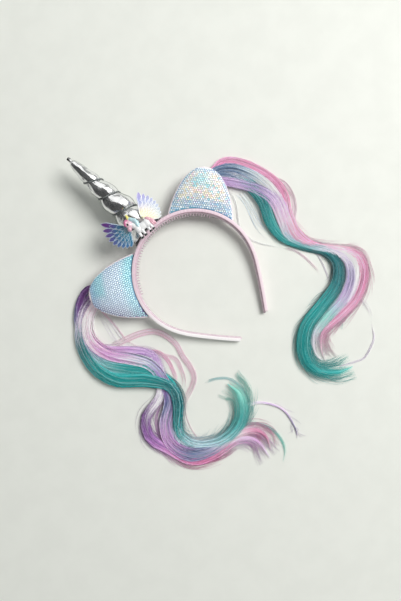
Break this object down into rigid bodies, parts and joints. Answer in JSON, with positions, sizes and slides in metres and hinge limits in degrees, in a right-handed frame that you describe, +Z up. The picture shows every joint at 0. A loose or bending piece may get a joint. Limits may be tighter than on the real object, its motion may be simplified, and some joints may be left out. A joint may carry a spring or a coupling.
{
  "type": "unicorn horn headband",
  "caption": "Costume headband with a padded silver horn, sequined ears, a small winged unicorn charm and wavy pastel hair falls, lying flat.",
  "frame": {"origin": "middle of the box round the object, on the surface that it lies on", "axes": "+Y from the open end of the hoop to the tip of the horn, +X to the right seen from above with the horn pointing away, +Z up from the surface"},
  "size_m": [0.291, 0.3616, 0.0427],
  "materials": {
    "pale_plastic": "smooth moulded",
    "pink_satin": "satin ribbon",
    "dark_felt": "felt",
    "silver_foil": "metallic foil cloth, padded",
    "silver_cord": "twisted metallic cord",
    "sequins": "iridescent sequins on padded cloth",
    "lilac_satin": "satin",
    "painted_resin": "cast and painted",
    "wing_resin": "cast and painted",
    "hair": "synthetic hair"
  },
  "bodies": {
    "root": {"band_core": "pale_plastic", "ribbon_cover": "pink_satin", "horn_pad": "dark_felt", "horn": "silver_foil", "horn_cord": "silver_cord", "ear_left_front": "sequins", "ear_left_back": "lilac_satin", "ear_right_front": "sequins", "ear_right_back": "lilac_satin", "charm_unicorn": "painted_resin", "wing_left": "wing_resin", "wing_right": "wing_resin", "hair_left": "hair", "hair_right": "hair"}
  },
  "joints": []
}
